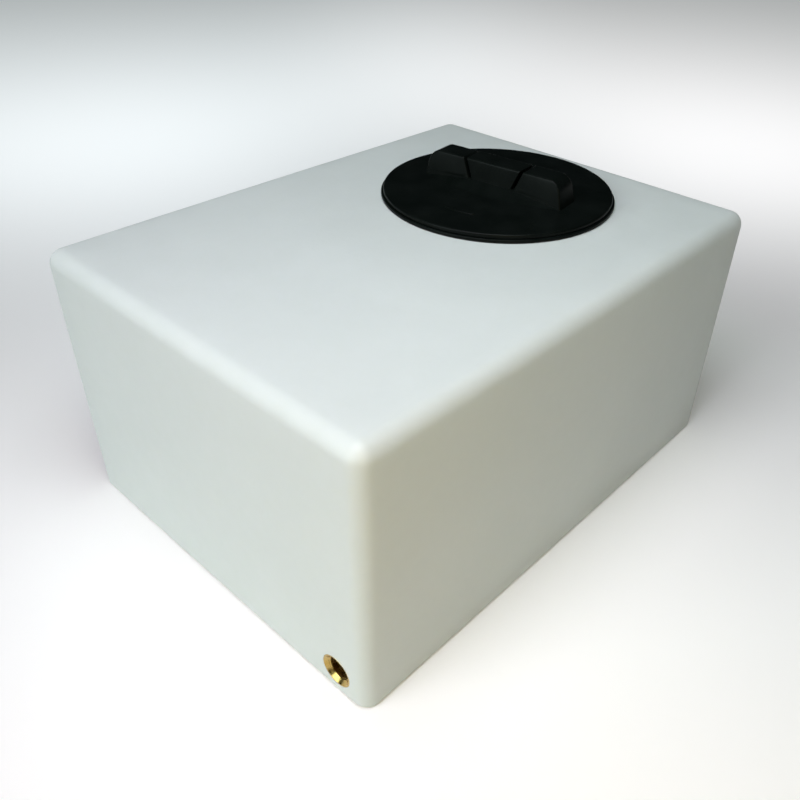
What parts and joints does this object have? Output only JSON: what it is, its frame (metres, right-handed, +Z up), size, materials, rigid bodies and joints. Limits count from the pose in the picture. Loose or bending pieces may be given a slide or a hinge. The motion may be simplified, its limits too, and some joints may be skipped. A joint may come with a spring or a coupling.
{
  "type": "fresh water tank",
  "caption": "Low rectangular plastic fresh water tank with a round screw lid, a grip bar on the lid and a threaded brass outlet low in one end wall.",
  "frame": {"origin": "centre of the tank's footprint, on the surface that it stands on", "axes": "+X along the long side, away from the outlet's wall; +Y along the short side; +Z up"},
  "size_m": [0.6, 0.45, 0.339],
  "materials": {
    "polyethylene": "satin, translucent white",
    "brass": "machined",
    "black_plastic": "fine grain",
    "black_rubber": "matt",
    "stainless": "machined",
    "silicone": "matt"
  },
  "bodies": {
    "root": {"tank_shell": "polyethylene", "outlet_insert": "brass", "lid_ring": "black_plastic", "ring_gasket": "black_rubber", "ring_screws": "stainless", "ring_washers": "stainless", "ring_nuts": "stainless"},
    "seal": {"lid_seal": "black_rubber"},
    "lid": {"lid": "black_plastic", "breather_seat": "black_plastic", "breather_valve": "silicone", "breather_screen": "stainless"}
  },
  "joints": [
    {"name": "lid_rise", "type": "slide", "parent": "root", "child": "seal", "axis": [0, 0, 1], "range_m": [0, 0.0481]},
    {"name": "lid_turn", "type": "hinge", "parent": "seal", "child": "lid", "pos_m": [0.1325, 0.0035, 0.3045], "axis": [0, 0, 1], "range_deg": [0, 720]}
  ],
  "couplings": [
    {"joint": "lid_rise", "follows": "lid_turn", "m_per_rad": 0.0038197}
  ]
}
